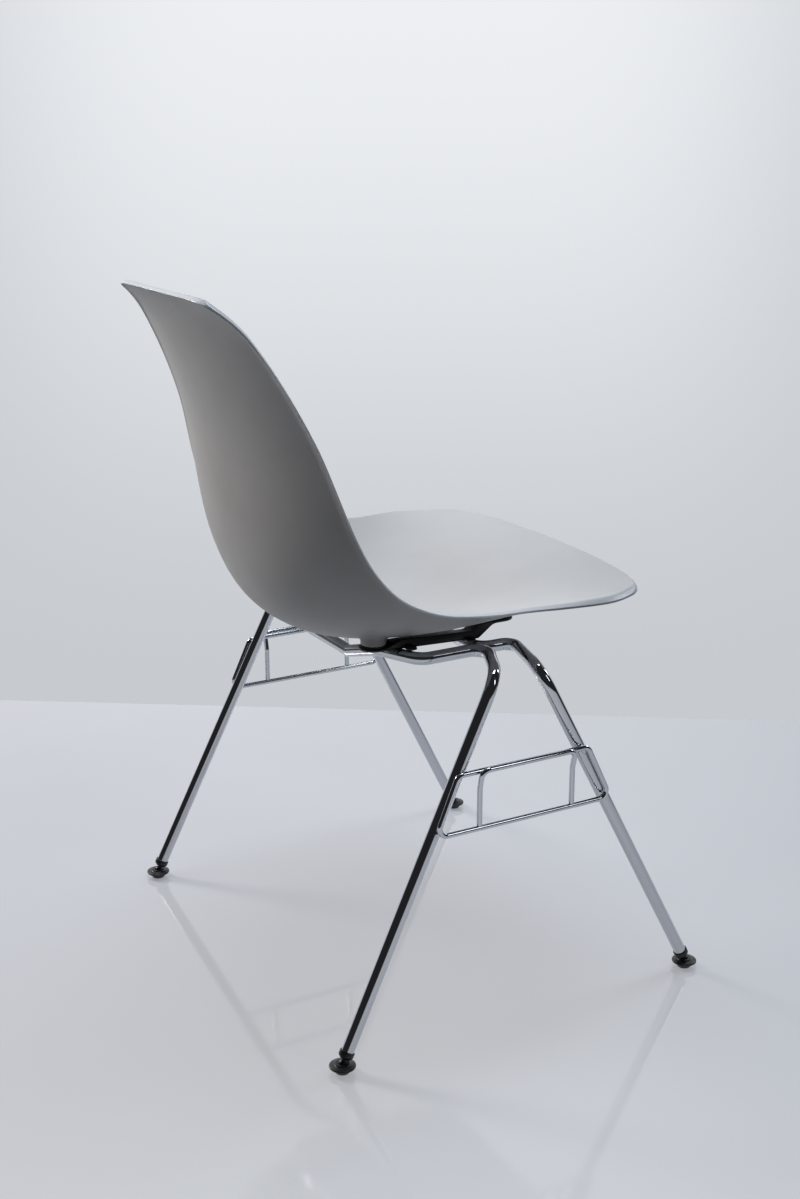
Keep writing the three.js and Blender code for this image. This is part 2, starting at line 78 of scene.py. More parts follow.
def makeCamera():
    right, above, ahead = cameraAxes()
    data = bpy.data.cameras.new("camera")
    data.sensor_width = camera["filmHeight"]
    data.lens = camera["filmHeight"] * camera["focalPixels"] / camera["pixelsHigh"]
    data.clip_start, data.clip_end = camera["clip"]
    eye = bpy.data.objects.new("camera", data)
    turn = Matrix([right, above, -ahead]).transposed().to_4x4()
    eye.matrix_world = Matrix.Translation(camera["place"]) @ turn
    bpy.context.scene.collection.objects.link(eye)
    bpy.context.scene.camera = eye


def onFloor(x, y):  # point of the floor behind a pixel of the photograph
    right, above, ahead = cameraAxes()
    across = (x - camera["pixelsWide"] / 2) / camera["focalPixels"]
    down = (y - camera["pixelsHigh"] / 2) / camera["focalPixels"]
    ray = ahead + across * right - down * above
    place = np.array(camera["place"])
    return place - ray * place[2] / ray[2]


makeCamera()
print("camera placed")


# Shader sums written as plain expressions

class Wire:  # one output of a node, with the sums that the finishes use
    def __init__(self, tree, link):
        self.tree = tree
        self.link = link

    def maths(self, operation, *values):
        node = self.tree.nodes.new("ShaderNodeMath")
        node.operation = operation
        for value, inlet in zip(values, node.inputs):
            join(self.tree, value, inlet)
        return Wire(self.tree, node.outputs[0])

    def __add__(self, other):
        return self.maths("ADD", self, other)

    def __radd__(self, other):
        return self.maths("ADD", other, self)

    def __sub__(self, other):
        return self.maths("SUBTRACT", self, other)

    def __rsub__(self, other):
        return self.maths("SUBTRACT", other, self)

    def __mul__(self, other):
        return self.maths("MULTIPLY", self, other)

    def __rmul__(self, other):
        return self.maths("MULTIPLY", other, self)

    def __truediv__(self, other):
        return self.maths("DIVIDE", self, other)

    def __pow__(self, other):
        return self.maths("POWER", self, other)


def join(tree, value, inlet):
    if isinstance(value, Wire):
        tree.links.new(value.link, inlet)
    else:
        inlet.default_value = value


class Finish:  # one material or world, whose nodes come from a single method
    def __init__(self, owner):
        self.owner = owner
        owner.use_nodes = True
        self.tree = owner.node_tree
        self.tree.nodes.clear()

    def node(self, kind, settings=None, inlets=None, outlet=0):
        node = self.tree.nodes.new(kind)
        for name, value in (settings or {}).items():
            setattr(node, name, value)
        for name, value in (inlets or {}).items():
            join(self.tree, value, node.inputs[name])
        return Wire(self.tree, node.outputs[outlet]) if node.outputs else node

    def place(self):  # metres in the chair's own frame
        return self.node("ShaderNodeTexCoord", outlet="Object")

    def noise(self, scale, detail, roughness=0.5):
        inlets = {"Scale": scale, "Detail": detail, "Roughness": roughness}
        return self.node("ShaderNodeTexNoise", None, {"Vector": self.place(), **inlets}, "Fac")

    def between(self, value, low, high, start=0.0, end=1.0):
        settings = {"interpolation_type": "SMOOTHSTEP"}
        inlets = {"Value": value, "From Min": low, "From Max": high}
        inlets.update({"To Min": start, "To Max": end})
        return self.node("ShaderNodeMapRange", settings, inlets, "Result")

    def patches(self, spread):  # noise, stretched between two of its levels if they are given
        noise, levels = spread
        share = self.noise(*noise)
        return self.between(share, *levels) if levels else share

    def blend(self, share, first, second):
        settings = {"data_type": "RGBA", "clamp_factor": True}
        return self.node("ShaderNodeMix", settings, {"Factor": share, 6: first, 7: second}, 2)

    def dot(self, vector, fixed):
        settings = {"operation": "DOT_PRODUCT"}
        inlets = {0: vector, 1: tuple(map(float, fixed))}
        return self.node("ShaderNodeVectorMath", settings, inlets, "Value")

    def bump(self, height, strength, distance):
        inlets = {"Height": height, "Strength": strength, "Distance": distance}
        return self.node("ShaderNodeBump", None, inlets)

    def surface(self, inlets):
        shader = self.node("ShaderNodeBsdfPrincipled", None, inlets)
        self.node("ShaderNodeOutputMaterial", None, {"Surface": shader})
        return self.owner


def finishNamed(name):
    return Finish(bpy.data.materials.new(name))


def tone(red, green, blue):
    return (red, green, blue, 1.0)


# Finishes
# Patches are (scale, detail, roughness) of a noise with the two levels it runs between
# A bump is its strength and its depth in metres

plastic = {
    "colour": tone(0.48, 0.475, 0.475),
    "paler": tone(0.51, 0.505, 0.505),
    # paler, bluish rim colour: a painted highlight along the edge where its rounding catches the
    # lamps
    "rim": tone(0.66, 0.675, 0.70),
    "cloud": ((7.0, 4.0), (0.35, 0.65)),
    "smear": ((24.0, 5.0, 0.65), (0.42, 0.7)),
    "grain": (1900.0, 2.0, 0.6),
    "swell": (38.0, 2.0),
    "swellShare": 0.6,
    "roughness": 0.42,
    "smearDulls": 0.07,
    "grainDulls": 0.05,
    "rimShines": 0.2,
    "specular": 0.45,
    "bump": (0.35, 0.00003),
}


def shellPlastic():
    finish, look = finishNamed("shell_plastic"), plastic
    base = finish.blend(finish.patches(look["cloud"]), look["colour"], look["paler"])
    # share of the painted rim highlight, stored on the points of the shell
    rim = finish.node("ShaderNodeAttribute", {"attribute_name": "rimHighlightShare"}, outlet="Fac")
    grain = finish.noise(*look["grain"])
    swell = finish.noise(*look["swell"]) * look["swellShare"]
    dulled = finish.patches(look["smear"]) * look["smearDulls"] + grain * look["grainDulls"]
    return finish.surface({
        # the rim takes the paler colour: a painted highlight along the edge
        "Base Color": finish.blend(rim, base, look["rim"]),
        "Roughness": look["roughness"] + dulled - rim * look["rimShines"],
        "Specular IOR Level": look["specular"],
        "Normal": finish.bump(grain + swell, *look["bump"]),
    })


chrome = {
    "colour": tone(0.585, 0.605, 0.64),
    "dull": tone(0.50, 0.51, 0.53),
    "smudge": ((46.0, 6.0, 0.7), (0.5, 0.78)),
    "pits": ((900.0, 1.0), (0.72, 0.8)),
    "dullShares": (0.35, 0.4),  # of the dull colour, in smudges and in pits
    "roughness": 0.04,
    "roughened": (0.07, 0.2),  # by smudges and by pits
    "ripple": (150.0, 2.0),
    "bump": (0.05, 0.00008),
}


def chromePlate():
    finish, look = finishNamed("chrome_plate"), chrome
    smudge, pits = finish.patches(look["smudge"]), finish.patches(look["pits"])

    def weighed(shares):
        return smudge * shares[0] + pits * shares[1]

    return finish.surface({
        "Base Color": finish.blend(weighed(look["dullShares"]), look["colour"], look["dull"]),
        "Metallic": 1.0,
        "Roughness": look["roughness"] + weighed(look["roughened"]),
        "Normal": finish.bump(finish.noise(*look["ripple"]), *look["bump"]),
    })


powderCoat = {
    "colours": (tone(0.012, 0.012, 0.013), tone(0.035, 0.034, 0.034)),
    "patches": ((60.0, 5.0, 0.7), (0.45, 0.8)),
    "roughness": (0.4, 0.2),  # plain, and what a patch adds
    "grain": (1100.0, 2.0),
    "bump": (0.4, 0.00008),
}
blackRubber = {
    "colours": (tone(0.012, 0.012, 0.012), tone(0.03, 0.03, 0.03)),
    "patches": ((90.0, 4.0), (0.4, 0.75)),
    "roughness": (0.75, 0.15),
    "grain": (1500.0, 2.0),
    "bump": (0.5, 0.00006),
}
blackNylon = {
    "colours": (tone(0.010, 0.010, 0.011), tone(0.07, 0.07, 0.07)),
    "patches": ((260.0, 5.0, 0.7), (0.55, 0.8)),
    "dustTop": 0.006,  # height to which dust lies where the tread meets the floor
    "dustShare": 0.5,
    "roughness": (0.36, 0.25),
    "grain": (2400.0, 2.0),
    "bump": (0.35, 0.00004),
}
zincPlate = {
    "colours": (tone(0.42, 0.43, 0.45), tone(0.62, 0.62, 0.6)),
    "patches": ((420.0, 4.0, 0.7), None),
    "metallic": 1.0,
    "roughness": (0.28, 0.2),
    "grain": (1400.0, 2.0),
    "bump": (0.2, 0.00004),
}
turnedBrass = {
    "colours": (tone(0.5, 0.32, 0.1), tone(0.68, 0.47, 0.2)),
    "patches": ((500.0, 3.0), None),
    "metallic": 1.0,
    "roughness": (0.3, 0.15),
}


def patchedFinish(name, look):  # two colours in patches, over a fine grain
    finish = finishNamed(name)
    share = patch = finish.patches(look["patches"])
    if "dustTop" in look:
        height = finish.node("ShaderNodeSeparateXYZ", None, {"Vector": finish.place()}, "Z")
        dust = finish.between(height, 0.0, look["dustTop"], 1.0, 0.0)
        share = patch * (1 - look["dustShare"]) + dust * look["dustShare"]
    inlets = {
        "Base Color": finish.blend(share, *look["colours"]),
        "Metallic": look.get("metallic", 0.0),
        "Roughness": look["roughness"][0] + patch * look["roughness"][1],
    }
    if "grain" in look:
        inlets["Normal"] = finish.bump(finish.noise(*look["grain"]), *look["bump"])
    return finish.surface(inlets)


finishes = {
    "shell": shellPlastic(),
    "chrome": chromePlate(),
    "black_steel": patchedFinish("black_powder_coat", powderCoat),
    "rubber": patchedFinish("black_rubber", blackRubber),
    "nylon": patchedFinish("black_nylon", blackNylon),
    "zinc": patchedFinish("zinc_plate", zincPlate),
    "brass": patchedFinish("turned_brass", turnedBrass),
}
print("finishes made")


# Meshes

def makePiece(name, solid, slot, body="chair", crease=35.0, values=None):
    mesh = bpy.data.meshes.new(name)
    mesh.from_pydata([tuple(map(float, point)) for point in solid.points], [], solid.faces)
    # the values carry the share of the painted rim highlight at each point
    if values is not None:
        layer = mesh.attributes.new("rimHighlightShare", "FLOAT", "POINT")
        layer.data.foreach_set("value", np.asarray(values, np.float32))
    work = bmesh.new()
    work.from_mesh(mesh)
    bmesh.ops.recalc_face_normals(work, faces=work.faces)
    work.to_mesh(mesh)
    work.free()
    mesh.shade_smooth()
    mesh.set_sharp_from_angle(angle=math.radians(crease))
    mesh.materials.append(finishes[slot])
    piece = bpy.data.objects.new(name, mesh)
    bpy.context.scene.collection.objects.link(piece)
    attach(piece, body)
    return piece


class Solid:  # points and faces of one piece while it is put together
    def __init__(self):
        self.points = []
        self.faces = []

    def add(self, points, faces):
        start = len(self.points)
        self.points.extend(points)
        self.faces.extend(tuple(start + i for i in face) for face in faces)

    def rings(self, rings, loop=False):  # skin over equal rings, its ends closed or joined
        count = len(rings[0])
        faces = []
        for r in range(len(rings) if loop else len(rings) - 1):
            here, there = r * count, (r + 1) % len(rings) * count
            for k in range(count):
                following = (k + 1) % count
                faces.append((here + k, here + following, there + following, there + k))
        if not loop:
            last = (len(rings) - 1) * count
            faces += [tuple(range(count)), tuple(range(last, last + count))]
        self.add([point for ring in rings for point in ring], faces)


def lathe(solid, profile, sides, centre, axis=up, loop=False):  # profile of (radius, height)
    axis = unit(np.asarray(axis, float))
    side = unit(np.cross(axis, [1.0, 0.0, 0.0]))
    turn = np.arange(sides) / sides * 2 * np.pi
    around = np.cos(turn)[:, None] * side + np.sin(turn)[:, None] * np.cross(axis, side)
    solid.rings([centre + axis * height + around * radius for radius, height in profile], loop)


def halfAngle(back, ahead):
    return math.acos(np.clip(back @ ahead, -1, 1)) / 2


def cornerArc(corner, back, ahead, reach, steps):  # begins and ends this far from the corner
    half = halfAngle(back, ahead)
    centre = corner + unit(back + ahead) * reach / math.cos(half)
    first, last = corner + back * reach - centre, corner + ahead * reach - centre
    sweep = math.pi - 2 * half
    arc = []
    for k in range(steps + 1):
        before, after = (math.sin(sweep * share) for share in (1 - k / steps, k / steps))
        arc.append(centre + (before * first + after * last) / math.sin(sweep))
    return arc


flattest = math.radians(88)  # half angle beyond which a corner counts as straight
mostOfSide = 0.49  # share of a side that one rounding takes up at most


def roundedOutline(outline, radii, steps):  # closed outline in a plane
    result = []
    for i, (corner, radius) in enumerate(zip(outline, radii)):
        corner = np.asarray(corner, float)
        back = unit(np.asarray(outline[i - 1]) - corner)
        ahead = unit(np.asarray(outline[(i + 1) % len(outline)]) - corner)
        half = halfAngle(back, ahead)
        if radius <= 0 or half > flattest:
            result.append(corner)
        else:
            result.extend(cornerArc(corner, back, ahead, radius / math.tan(half), steps))
    return np.array(result)


def roundedProfile(corners, steps=4):  # open profile of (radius, height, corner radius)
    result = []
    for i, (r, z, bend) in enumerate(corners):
        corner = np.array([r, z])
        if bend == 0 or i in (0, len(corners) - 1):
            result.append(corner)
            continue
        back, ahead = (np.array(corners[k][:2]) - corner for k in (i - 1, i + 1))
        room = mostOfSide * min(np.linalg.norm(back), np.linalg.norm(ahead))
        back, ahead = unit(back), unit(ahead)
        reach = min(bend / math.tan(halfAngle(back, ahead)), room)
        result.extend(cornerArc(corner, back, ahead, reach, steps))
    return result


# Bent tubes and wires

def bentPath(corners, bends, bendSteps=14):
    points, tangents = [], []
    corners = [np.asarray(corner, float) for corner in corners]
    for i, corner in enumerate(corners):
        if i in (0, len(corners) - 1):
            run = corners[1] - corner if i == 0 else corner - corners[i - 1]
            points.append(corner)
            tangents.append(unit(run))
            continue
        back, ahead = unit(corners[i - 1] - corner), unit(corners[i + 1] - corner)
        half = halfAngle(back, ahead)
        radius = bends[i - 1]
        centre = corner + unit(back + ahead) * radius / math.sin(half)
        first = corner + back * radius / math.tan(half) - centre
        sweep = math.pi - 2 * half
        for k in range(bendSteps + 1):
            angle = sweep * k / bendSteps
            points.append(centre + math.cos(angle) * first - math.sin(angle) * radius * back)
            tangents.append(-math.cos(angle) * back - math.sin(angle) * first / radius)
    return np.array(points), np.array(tangents)


def sweptRings(path, radius, sides):
    side = np.array([1.0, 0.0, 0.0])
    turn = np.arange(sides) / sides * 2 * np.pi
    rings = []
    for point, tangent in zip(*path):
        side = unit(side - tangent * (side @ tangent))
        other = np.cross(tangent, side)
        around = np.cos(turn)[:, None] * side + np.sin(turn)[:, None] * other
        rings.append(point + radius * around)
    return rings


# Places read from the frame

def middleOf(node):
    low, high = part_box(node)
    return np.array((low + high) / 2)


seat = {
    "mountSpread": 0.25,
    "rearMountY": 0.113,
    "frontMountY": -0.045,
    "gap": 0.0003,
}
shiftY = middleOf("rubber_pad_rear_left")[1] - seat["rearMountY"]


# Seat shell, from the same sizes as the solid

shell = {
    "width": 0.465,
    "depth": 0.487,
    "rise": 0.3895,
    "underside": 0.396,
    "front": -0.194,
    "dish": 0.092,
    "wall": 0.005,
    "lipWidth": 0.010,
    "rimRounding": (0.0062, 0.0029, 1.4),  # width, depth and power of its fall
    "rimHighlightRings": 4,  # rings of the edge over which the painted rim highlight grows in
    "edgeReach": 0.0017,
    "edgePower": 2.6,  # how flat the edge is between its two roundings
    "lipTurn": 0.0017,
    "forwardShares": (0, 0.15, 0.322, 0.538, 0.735, 0.827, 0.862, 0.942, 1),
    "heightShares": (0.169, 0.125, 0.048, 0, 0.044, 0.214, 0.591, 0.882, 1),
    "widthShares": (0.858, 0.992, 0.981, 0.979, 0.97, 0.92, 0.757, 0.611, 0.478),
    "dishShares": (-0.125, 0.085, 0.464, 0.835, 1, 0.834, 0.589, 0.384, 0.037),
    "leanDegrees": (0, 0, -10, -31, -46, -52, -49, -59, -50),
    "dishPower": 2.08,
    "frontCorner": (0.084, 3.9),  # share of the length, power
    "topCorner": (0.062, 5.7),
    "columns": 110,
    "rows": 170,
    "edgeSteps": 14,
    "lengthSteps": 200,
    "halvings": 40,
}


def alongStations(shares, t):  # smooth value through evenly spread stations
    shares = np.asarray(shares, float)
    last = len(shares) - 1
    place = np.clip(t, 0, 1) * last
    k = np.minimum(place.astype(int), last)
    w = place - k
    a, b, c, d = (shares[np.clip(k + i, 0, last)] for i in (-1, 0, 1, 2))
    startSlope, endSlope = (c - a) / 2, (d - b) / 2
    cubic = 2 * b - 2 * c + startSlope + endSlope
    square = 3 * c - 3 * b - 2 * startSlope - endSlope
    return (cubic * w + square) * w * w + startSlope * w + b


def outerFace(x, t):
    rise = shell["dish"] * alongStations(shell["dishShares"], t)
    rise = rise * (np.abs(x) * 2 / shell["width"]) ** shell["dishPower"]
    lean = np.radians(alongStations(shell["leanDegrees"], t))
    y = shiftY + shell["front"] + shell["depth"] * alongStations(shell["forwardShares"], t)
    z = shell["underside"] + shell["rise"] * alongStations(shell["heightShares"], t)
    return np.stack([x + 0 * t, y + np.sin(lean) * rise, z + np.cos(lean) * rise], -1)


def faceNormal(x, t):
    stepX, stepT = 0.0004, 0.002
    across = outerFace(x + stepX, t) - outerFace(x - stepX, t)
    along = outerFace(x, np.minimum(t + stepT, 1)) - outerFace(x, np.maximum(t - stepT, 0))
    normal = np.cross(across, along)
    return normal / np.linalg.norm(normal, axis=-1, keepdims=True)


def cornerDrop(u, corner):
    depth, power = corner
    return depth * (1 - (1 - np.abs(u) ** power) ** (1 / power))


middleLine = outerFace(0.0, np.linspace(0, 1, shell["lengthSteps"] + 1))
middleLength = np.linalg.norm(np.diff(middleLine, axis=0), axis=1).sum()


def mouldingFace(u, v, offset):
    start = cornerDrop(u, shell["frontCorner"])
    end = 1 - cornerDrop(u, shell["topCorner"])
    t = start + (end - start) * v
    half = shell["width"] / 2 * alongStations(shell["widthShares"], t)
    span = (end - start) * middleLength
    distances = np.stack([(1 - np.abs(u)) * half, v * span, (1 - v) * span])
    nearness = np.maximum(1 - distances / shell["lipWidth"], 0) ** 2
    turn = shell["lipTurn"] * (1 - np.prod(1 - nearness, axis=0))
    points = outerFace(u * half, t) + faceNormal(u * half, t) * (offset - turn)[..., None]
    return points, distances.min(axis=0)


def undersideHeight(x, y):  # found in the seat's half of the stations
    low, high = np.zeros_like(x), np.full_like(x, 0.5)
    for _ in range(shell["halvings"]):
        centre = (low + high) / 2
        nearer = outerFace(x, centre)[..., 1] < y
        low, high = np.where(nearer, centre, low), np.where(nearer, high, centre)
    return outerFace(x, low)[..., 2]


def mouldedSheet(solid, values):
    columns, rows, steps = shell["columns"], shell["rows"], shell["edgeSteps"]
    us = np.sin((np.arange(columns + 1) / columns - 0.5) * np.pi)
    vs = (1 - np.cos(np.arange(rows + 1) / rows * np.pi)) / 2
    u, v = np.meshgrid(us, vs, indexing="ij")
    outer, distance = mouldingFace(u, v, np.zeros_like(u))
    width, depth, power = shell["rimRounding"]
    nearRim = np.clip(1 - distance / width, 0, 1)
    inner, _ = mouldingFace(u, v, shell["wall"] - depth * nearRim ** power)
    count = (columns + 1) * (rows + 1)
    points = [*outer.reshape(-1, 3), *inner.reshape(-1, 3)]
    # painted rim highlight: none on the outer face, growing towards the edge on the inner face
    values.extend([*np.zeros(count), *nearRim.ravel()])

    def at(i, j):
        return i * (rows + 1) + j

    faces = []
    for i in range(columns):
        for j in range(rows):
            face = (at(i, j), at(i + 1, j), at(i + 1, j + 1), at(i, j + 1))
            faces.append(face[::-1])
            faces.append(tuple(k + count for k in face))
    rim = [(i, 0, i, 1) for i in range(columns)]
    rim += [(columns, j, columns - 1, j) for j in range(rows)]
    rim += [(i, rows, i, rows - 1) for i in range(columns, 0, -1)]
    rim += [(0, j, 1, j) for j in range(rows, 0, -1)]
    i, j, inI, inJ = np.array(rim).T
    centre = (outer[i, j] + inner[i, j]) / 2
    outward = centre - (outer[inI, inJ] + inner[inI, inJ]) / 2
    outward /= np.linalg.norm(outward, axis=1, keepdims=True)
    across = (inner[i, j] - outer[i, j]) / 2
    loops = [at(i, j)]
    share = 2 / shell["edgePower"]
    for k in range(1, steps):
        angle = (k / steps - 0.5) * np.pi
        out = math.cos(angle) ** share * shell["edgeReach"]
        rise = math.copysign(abs(math.sin(angle)) ** share, angle)
        loops.append(np.arange(len(points), len(points) + len(rim)))
        points.extend(centre + outward * out + across * rise)
        # the edge rings take the painted rim highlight, in full past the first few rings
        values.extend([min(k / shell["rimHighlightRings"], 1)] * len(rim))
    loops.append(loops[0] + count)
    for below, above in zip(loops, loops[1:]):
        corners = (below, np.roll(below, -1), np.roll(above, -1), above)
        faces.extend(np.stack(corners, -1).tolist())
    solid.add(points, faces)


boss = {
    "radius": 0.014,
    "bore": 0.0048,
    "boreDepth": 0.0073,
    "edge": 0.0008,
    "edgeSteps": 4,
    "flare": 0.004,  # fillet that runs out into the shell
    "flareSteps": 6,
    "flareShare": 0.9,  # of the height between edge and shell, at most
    "leastRoom": 0.0001,
    "sides": 64,
}


def mouldedBoss(solid, x, y, faceZ):
    turn = np.arange(boss["sides"]) / boss["sides"] * 2 * np.pi

    def circle(radius):
        return x + np.cos(turn) * radius, y + np.sin(turn) * radius

    def ring(radius, height):
        return np.column_stack([*circle(radius), height + 0 * turn])

    def shellOver(radius):
        return undersideHeight(*circle(radius))

    radius, edge, flare = boss["radius"], boss["edge"], boss["flare"]
    rings = [ring(boss["bore"], faceZ + boss["boreDepth"]), ring(boss["bore"], faceZ)]
    for angle in np.linspace(0, math.pi / 2, boss["edgeSteps"] + 1):
        height = faceZ + edge * (1 - math.cos(angle))
        rings.append(ring(radius - edge * (1 - math.sin(angle)), height))
    shellZ = shellOver(radius)
    room = np.maximum(shellZ - faceZ - edge, boss["leastRoom"])
    lift = np.minimum(flare, room * boss["flareShare"])
    for share in np.linspace(0, 1, boss["flareSteps"] + 1):
        angle = share * math.pi / 2
        out = radius + flare * (1 - math.cos(angle))
        height = shellZ - lift * (1 - math.sin(angle))
        rings.append(ring(out, height + (shellOver(out) - shellZ) * share))
    rings.append(ring(radius + flare, shellOver(radius + flare) + shell["wall"] / 2))
    solid.rings(rings)


def makeShell():
    solid, values = Solid(), []
    mouldedSheet(solid, values)
    for end in ("front", "rear"):
        for side in ("right", "left"):
            node = f"threaded_insert_{end}_{side}"
            x, y, _ = middleOf(node)
            mouldedBoss(solid, x, y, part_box(node)[0].z)
    values.extend([0.0] * (len(solid.points) - len(values)))
    piece = makePiece("shell_moulding", solid, "shell", crease=50.0, values=values)
    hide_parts("seat_shell")


makeShell()
print("shell moulded")


# Leg tubes

tube = {
    "radius": 0.007,
    "wall": 0.0015,
    "sides": 48,
    "footSpread": 0.522,
    "kneeSpread": 0.49,
    "kinkBend": 0.018,
    "ballHeight": 0.009,
    "collarFloor": 0.0098,  # ball centre to the end of the tube, along the leg
    "plate": 0.0025,
    "frontRunClearance": 0.0028,
    "runClearance": 0.0055,
    "rearRun": ((0.112, 0.101), (0.056, 0.106)),
}
rearLeg = {
    "footY": 0.2302, "kneeY": 0.033, "bendY": -0.006, "kinkY": 0.077,
    "railX": 0.165, "kneeBend": 0.033, "railBend": 0.016,
}
frontLeg = {
    "footY": -0.2288, "kneeY": -0.022, "bendY": -0.049, "kinkY": -0.002,
    "railX": 0.152, "kneeBend": 0.028, "railBend": 0.014,
}

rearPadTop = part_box("rubber_pad_rear_left")[0].z - seat["gap"]
rearLeg["railZ"] = rearPadTop - tube["plate"] - seat["gap"] - tube["radius"]
frontRun = undersideHeight(np.zeros(1), np.full(1, frontLeg["kinkY"] + shiftY))[0]
frontLeg["railZ"] = frontRun - tube["frontRunClearance"] - tube["radius"]


def spot(sign, x, y, z):
    return np.array([sign * x, y + shiftY, z])


def legAxis(leg, sign):
    foot = spot(sign, tube["footSpread"] / 2, leg["footY"], 0)
    knee = spot(sign, tube["kneeSpread"] / 2, leg["kneeY"], leg["railZ"])
    return foot, knee


def onLeg(axis, z):
    foot, knee = axis
    return foot + (knee - foot) * z / knee[2]


def halfTube(leg, sign, run):
    axis = legAxis(leg, sign)
    end = onLeg(axis, tube["ballHeight"]) + unit(axis[1] - axis[0]) * tube["collarFloor"]
    corners = [end, axis[1]]
    corners.append(spot(sign, leg["railX"], leg["bendY"], leg["railZ"]))
    corners.append(spot(sign, leg["railX"], leg["kinkY"], leg["railZ"]))
    return corners + [spot(sign, x, y, z) for x, y, z in run]


def makeTube(name, node, leg, run):
    corners = halfTube(leg, -1, run) + halfTube(leg, 1, run)[::-1]
    bends = [leg["kneeBend"], leg["railBend"], tube["kinkBend"], *[tube["kinkBend"]] * len(run)]
    path = bentPath(corners, bends + bends[::-1])
    outer = sweptRings(path, tube["radius"], tube["sides"])
    ends = [0, len(path[0]) - 1]
    bore = tube["radius"] - tube["wall"]
    inner = sweptRings((path[0][ends], path[1][ends]), bore, tube["sides"])
    solid = Solid()
    solid.rings([inner[0], *outer, inner[1]])
    piece = makePiece(name, solid, "chrome")
    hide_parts(node)


dipZ = shell["underside"] - tube["runClearance"] - tube["radius"]
(runX, runY), (dipX, dipY) = tube["rearRun"]
rearRun = [(runX, runY, rearLeg["railZ"]), (dipX, dipY, dipZ)]
makeTube("bent_tube_front", "front_leg_tube", frontLeg, [])
makeTube("bent_tube_rear", "rear_leg_tube", rearLeg, rearRun)
print("tubes bent")


# Linking frames

link = {
    "radius": 0.003,
    "sides": 28,
    "loopBottom": 0.2405,
    "loopTop": 0.3035,
    "loopBend": 0.009,
    "hookRise": 0.003,
    "rearStrutShare": 0.152,
    "frontStrutShare": 0.132,
    "hookBend": 0.009,
    "hookGap": 0.0015,
    "strutTurn": 0.022,
    "weld": (0.0055, 0.0027),  # half length and half thickness of a bead
    "weldShift": 0.004,  # of the beads on the legs, towards the middle of the loop
    "beadEnd": 1.5,  # radians from the middle of a bead to its end
    "beadSteps": 8,
    "beadSides": 16,
}


def besideLeg(leg, z, along):
    out = tube["radius"] + link["radius"] + seat["gap"]
    return onLeg(legAxis(leg, 1), z) + np.array([out, along, 0])


def linkCorners():
    radius = link["radius"]
    rearLow = besideLeg(rearLeg, link["loopBottom"], radius)
    rearHigh = besideLeg(rearLeg, link["loopTop"], radius * 2)
    frontLow = besideLeg(frontLeg, link["loopBottom"], -radius)
    frontHigh = besideLeg(frontLeg, link["loopTop"], -radius * 2)
    return rearLow, rearHigh, frontLow, frontHigh


def mirroredX(points, sign):
    return [np.array([sign * x, y, z]) for x, y, z in points]


def makeLink(side, sign):
    radius = link["radius"]
    rearLow, rearHigh, frontLow, frontHigh = linkCorners()
    seam = (rearLow + frontLow) / 2
    corners = [seam, frontLow, frontHigh, rearHigh, rearLow, seam]
    points, tangents = bentPath(corners, [link["loopBend"]] * 4)
    loop = Solid()
    rings = sweptRings((points[:-1], tangents[:-1]), radius, link["sides"])
    loop.rings([mirroredX(ring, sign) for ring in rings], loop=True)
    piece = makePiece(f"wire_loop_{side}", loop, "chrome")
    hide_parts(f"link_loop_{side}")

    lowX = (rearLow[0] + frontLow[0]) / 2
    highX = (rearHigh[0] + frontHigh[0]) / 2 + radius * 2 + link["hookGap"]
    railZ = link["loopTop"] + link["hookRise"]
    footZ = link["loopBottom"] + radius + seat["gap"]
    topLength = rearHigh[1] - frontHigh[1]
    rearY = rearHigh[1] - link["rearStrutShare"] * topLength
    frontY = frontHigh[1] + link["frontStrutShare"] * topLength

    def strut(y):
        return [(lowX, y, footZ), (lowX, y, railZ - link["strutTurn"]), (highX, y, railZ)]

    path = bentPath(strut(rearY) + strut(frontY)[::-1], [link["hookBend"]] * 4)
    hook = Solid()
    hook.rings([mirroredX(ring, sign) for ring in sweptRings(path, radius, link["sides"])])
    piece = makePiece(f"wire_hook_{side}", hook, "chrome")
    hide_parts(f"link_hook_{side}")


def bead(solid, sign, centre, along):  # small rounded bead of weld
    length, thickness = link["weld"]
    angles = np.linspace(-link["beadEnd"], link["beadEnd"], link["beadSteps"] + 1)
    profile = [(thickness * math.cos(a), length * math.sin(a)) for a in angles]
    centre, along = mirroredX([centre, along], sign)
    lathe(solid, profile, link["beadSides"], centre, along)


def makeWelds(side, sign):
    solid = Solid()
    for leg in (rearLeg, frontLeg):
        foot, knee = legAxis(leg, 1)
        for z in (link["loopBottom"] + link["weldShift"], link["loopTop"] - link["weldShift"]):
            centre = onLeg((foot, knee), z) + np.array([tube["radius"] + seat["gap"] / 2, 0, 0])
            bead(solid, sign, centre, knee - foot)
    makePiece(f"weld_beads_{side}", solid, "chrome")


for side, sign in (("right", -1), ("left", 1)):
    makeLink(side, sign)
    makeWelds(side, sign)
print("linking frames bent and welded")


# Glides

glide = {
    "ball": 0.005,
    "poleGap": 0.05,  # radians left open where a ball or socket would close to a point
    "axisGap": 0.0004,  # the same on flat ends, as a radius
    "eased": 0.0005,  # tread past its mount's radius, hub drawn in at its top
    "ballGap": 0.0002,
    "neck": 0.0028,
    "skirt": (0.0042, 0.0060),  # radius and start of the taper under the collar
    "collarStart": 0.0071,
    "collarLength": 0.0055,
    "collar": 0.0082,
    "taper": 0.0018,
    "plug": 0.018,
    "brim": 0.0142,
    "brimBottom": 0.0062,
    "brimTop": 0.0082,
    "hub": 0.008,
    "hubTop": 0.0108,
    "tread": 0.007,
    "cone": 0.0104,
    "sides": 56,
}


def arcProfile(radius, start, end, steps, lift=0.0):
    angles = np.linspace(start, end, steps + 1)
    return [(radius * math.cos(a), lift + radius * math.sin(a)) for a in angles]


